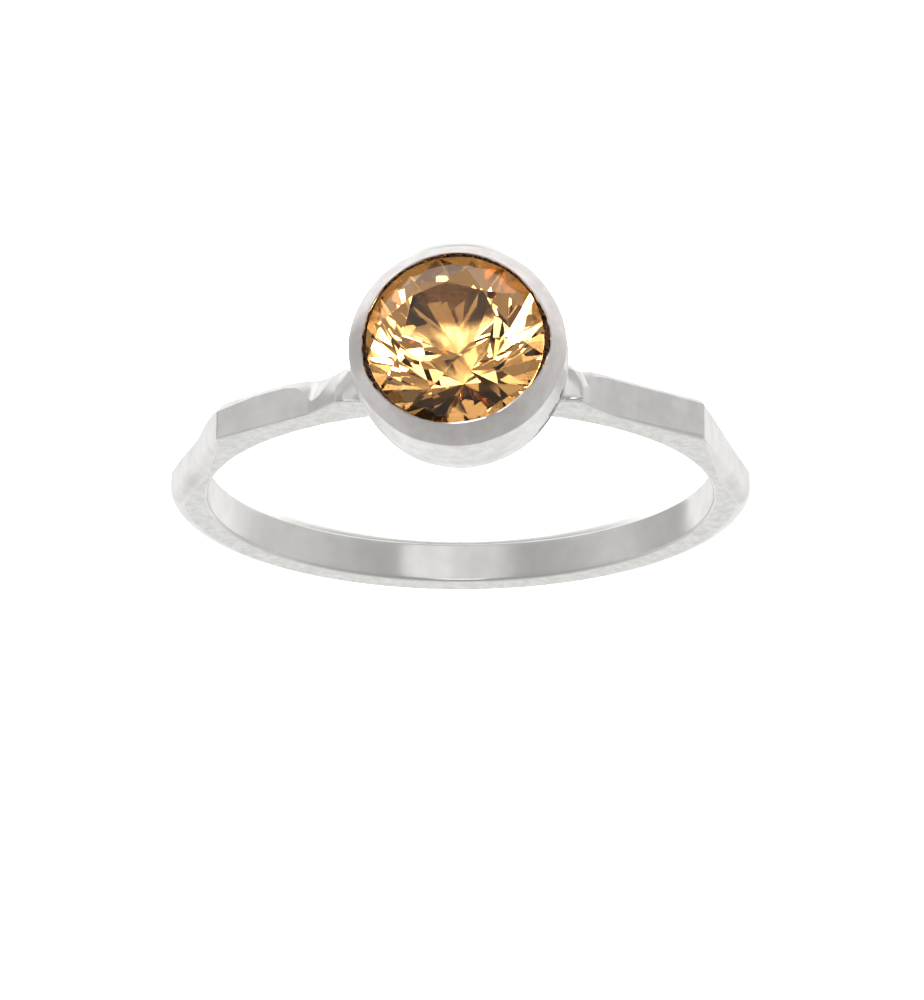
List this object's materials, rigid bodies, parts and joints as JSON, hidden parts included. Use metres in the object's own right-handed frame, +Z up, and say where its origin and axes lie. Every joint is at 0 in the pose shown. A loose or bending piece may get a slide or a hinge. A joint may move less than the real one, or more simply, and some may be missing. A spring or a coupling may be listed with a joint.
{
  "type": "bezel-set stone ring",
  "caption": "Slim silver finger ring with a hand-filed faceted band and a round cup setting that holds a faceted golden stone.",
  "frame": {"origin": "centre of the bounding box's underside, on the surface that the ring lies on", "axes": "+Z up. The ring lies on its side, with the stone to the front, -Y, raised a little because the cup is wider than the band. The finger's axis leans about 7 degrees from +Z"},
  "size_m": [0.0198, 0.0248, 0.0071],
  "materials": {
    "polished_silver": "hand-polished sterling silver, lightly brushed on the side of the band",
    "citrine": "transparent, facets polished to a mirror"
  },
  "bodies": {
    "root": {"silver_band_and_cup": "polished_silver", "citrine_stone": "citrine"}
  },
  "joints": []
}
